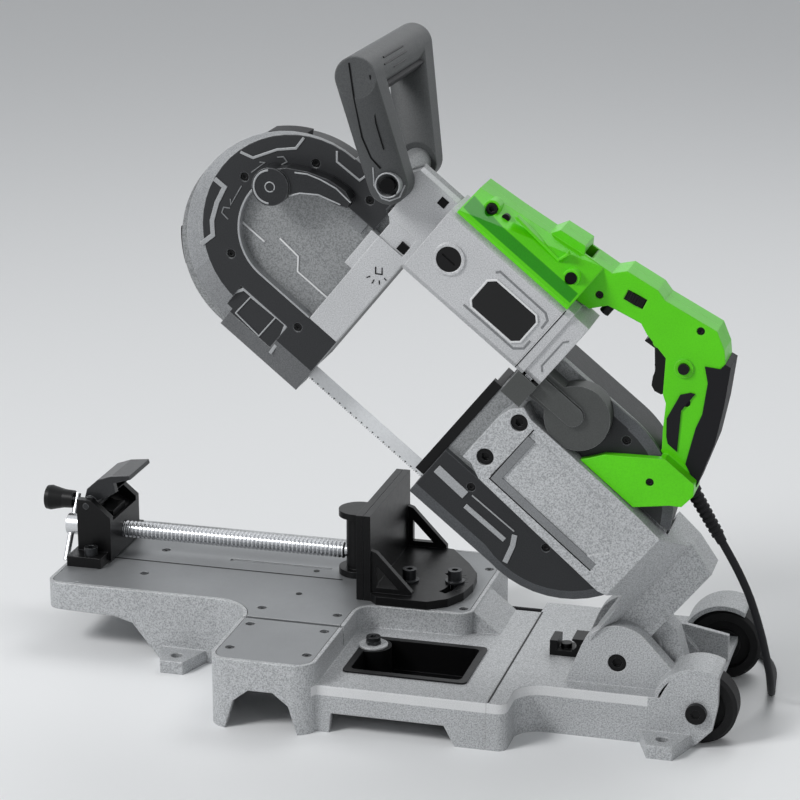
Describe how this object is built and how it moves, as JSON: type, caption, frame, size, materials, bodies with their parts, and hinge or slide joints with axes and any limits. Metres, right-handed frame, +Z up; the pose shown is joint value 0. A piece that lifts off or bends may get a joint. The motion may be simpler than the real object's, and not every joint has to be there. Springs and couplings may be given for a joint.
{
  "type": "metal band saw",
  "caption": "Metal cutting band saw on a cast bench stand: a tilting saw head with a handle grip and a looped top handle, a screw vise and a chip tray.",
  "frame": {"origin": "on the floor plane, straight below the tilt pivot of the saw head, at the front face of the front pivot ear", "axes": "+X runs along the bed towards the pivot and the transport wheels, +Y runs from the blade side to the vise side, +Z is up"},
  "size_m": [0.716, 0.4036, 0.5893],
  "materials": {
    "cast_grey": "satin",
    "plate_steel": "satin",
    "bright_steel": "satin",
    "black_parts": "satin",
    "lever_steel": "satin",
    "charcoal_guard": "satin",
    "black_rubber": "matte",
    "motor_grey": "satin",
    "label": "gloss",
    "wheel_alloy": "satin",
    "tyre": "matte",
    "green_shell": "gloss",
    "cord_black": "matte"
  },
  "bodies": {
    "base": {"bed_casting": "cast_grey", "bed_plate": "plate_steel", "box_plate": "plate_steel", "base_screws": "bright_steel", "rear_casting": "cast_grey", "chip_tray": "black_parts", "lock_hook": "black_parts", "pivot_pin": "bright_steel", "return_spring": "bright_steel", "wheel_axle": "bright_steel", "fixed_jaw": "black_parts", "nut_block": "black_parts", "cord": "cord_black", "cord_coil": "cord_black", "plug": "black_parts"},
    "front_transport_wheel": {"front_transport_wheel": "tyre"},
    "rear_transport_wheel": {"rear_transport_wheel": "tyre"},
    "moving_jaw": {"moving_jaw": "black_parts"},
    "vise_screw": {"lead_screw": "bright_steel", "crank_handle": "bright_steel"},
    "crank_knob": {"crank_knob": "black_parts"},
    "release_lever": {"release_lever": "lever_steel"},
    "half_nut": {"half_nut": "black_parts"},
    "head": {"front_frame": "cast_grey", "front_guard": "charcoal_guard", "front_cover": "charcoal_guard", "rear_frame": "cast_grey", "rear_guard": "charcoal_guard", "rear_cover": "charcoal_guard", "head_screws": "bright_steel", "bumpers": "black_rubber", "swing_arm": "cast_grey", "motor_housing": "motor_grey", "motor_end_cap": "motor_grey", "brush_caps": "black_parts", "label_plate": "label", "stator": "bright_steel", "gear_case": "motor_grey", "blade": "bright_steel", "blade_guides": "black_parts", "guide_bearings": "bright_steel", "work_stop": "black_parts", "shell_front": "green_shell", "shell_rear": "green_shell", "rubber_grip": "black_rubber", "top_handle": "charcoal_guard", "bar_insert": "black_rubber", "strain_relief": "black_rubber"},
    "drive_wheel": {"drive_wheel": "wheel_alloy", "drive_tyre": "tyre"},
    "idler_slide": {"idler_slide": "bright_steel"},
    "idler_wheel": {"idler_wheel": "wheel_alloy", "idler_tyre": "tyre"},
    "crown_gear": {"crown_gear": "bright_steel"},
    "layshaft": {"layshaft": "bright_steel"},
    "armature": {"armature": "bright_steel"},
    "tension_lever": {"tension_lever": "black_parts"},
    "trigger": {"trigger": "black_parts"},
    "lock_button": {"lock_button": "black_parts"},
    "speed_dial": {"speed_dial": "black_parts"}
  },
  "joints": [
    {"name": "head_tilt", "type": "hinge", "parent": "base", "child": "head", "pos_m": [0, 0, 0.064], "axis": [0, 1, 0], "range_deg": [-41.5, 0], "stiffness_Nm_per_rad": 24, "springref_deg": 74.48},
    {"name": "front_transport_wheel_spin", "type": "hinge", "parent": "base", "child": "front_transport_wheel", "pos_m": [0.072, 0.006, 0.033], "axis": [0, 1, 0], "continuous": true},
    {"name": "rear_transport_wheel_spin", "type": "hinge", "parent": "base", "child": "rear_transport_wheel", "pos_m": [0.072, 0.153, 0.033], "axis": [0, 1, 0], "continuous": true},
    {"name": "jaw_travel", "type": "slide", "parent": "base", "child": "moving_jaw", "axis": [-1, 0, 0], "range_m": [0, 0.195]},
    {"name": "screw_spin", "type": "hinge", "parent": "moving_jaw", "child": "vise_screw", "pos_m": [-0.4, 0.153, 0.085], "axis": [1, 0, 0], "continuous": true},
    {"name": "crank_knob_spin", "type": "hinge", "parent": "vise_screw", "child": "crank_knob", "pos_m": [-0.565, 0.16607, 0.10513], "axis": [1, 0, 0], "continuous": true},
    {"name": "release_lever_lift", "type": "hinge", "parent": "base", "child": "release_lever", "pos_m": [-0.53, 0.153, 0.118], "axis": [0, 1, 0], "range_deg": [-50, 0], "stiffness_Nm_per_rad": 0.4, "springref_deg": 17.19},
    {"name": "half_nut_slide", "type": "slide", "parent": "base", "child": "half_nut", "axis": [0, 0, 1], "range_m": [0, 0.0015]},
    {"name": "drive_wheel_spin", "type": "hinge", "parent": "head", "child": "drive_wheel", "pos_m": [-0.04526, 0.018, 0.21432], "axis": [0, 1, 0], "continuous": true},
    {"name": "idler_slide_travel", "type": "slide", "parent": "head", "child": "idler_slide", "axis": [0.7755, 0, -0.6314], "range_m": [0, 0.0045]},
    {"name": "idler_wheel_spin", "type": "hinge", "parent": "idler_slide", "child": "idler_wheel", "pos_m": [-0.29264, 0.018, 0.41572], "axis": [0, 1, 0], "continuous": true},
    {"name": "crown_gear_spin", "type": "hinge", "parent": "head", "child": "crown_gear", "pos_m": [-0.03369, -0.012, 0.28872], "axis": [0, 1, 0], "continuous": true},
    {"name": "layshaft_spin", "type": "hinge", "parent": "head", "child": "layshaft", "pos_m": [-0.0585, -0.02, 0.30892], "axis": [0.7755, 0, -0.6314], "continuous": true},
    {"name": "armature_spin", "type": "hinge", "parent": "head", "child": "armature", "pos_m": [-0.10557, -0.017, 0.39366], "axis": [0.7755, 0, -0.6314], "continuous": true},
    {"name": "tension_lever_turn", "type": "hinge", "parent": "head", "child": "tension_lever", "pos_m": [-0.29326, -0.029, 0.47039], "axis": [0, 1, 0], "range_deg": [0, 90]},
    {"name": "trigger_pull", "type": "hinge", "parent": "head", "child": "trigger", "pos_m": [0.02934, 0.008, 0.35346], "axis": [0, 1, 0], "range_deg": [-8, 0], "stiffness_Nm_per_rad": 1, "springref_deg": 11.46},
    {"name": "lock_button_press", "type": "slide", "parent": "head", "child": "lock_button", "axis": [0, 1, 0], "range_m": [0, 0.003], "stiffness_N_per_m": 400, "springref_m": -0.002},
    {"name": "speed_dial_turn", "type": "hinge", "parent": "head", "child": "speed_dial", "pos_m": [0.00934, 0.0015, 0.38845], "axis": [0.4297, 0, 0.903], "range_deg": [-135, 135]}
  ],
  "couplings": [
    {"joint": "half_nut_slide", "follows": "release_lever_lift", "m_per_rad": -0.00171},
    {"joint": "tension_lever_turn", "follows": "idler_slide_travel", "rad_per_m": 349},
    {"joint": "idler_wheel_spin", "follows": "drive_wheel_spin", "ratio": 1},
    {"joint": "crown_gear_spin", "follows": "drive_wheel_spin", "ratio": -5.0833},
    {"joint": "layshaft_spin", "follows": "drive_wheel_spin", "ratio": -17.4},
    {"joint": "armature_spin", "follows": "drive_wheel_spin", "ratio": 15.5}
  ]
}
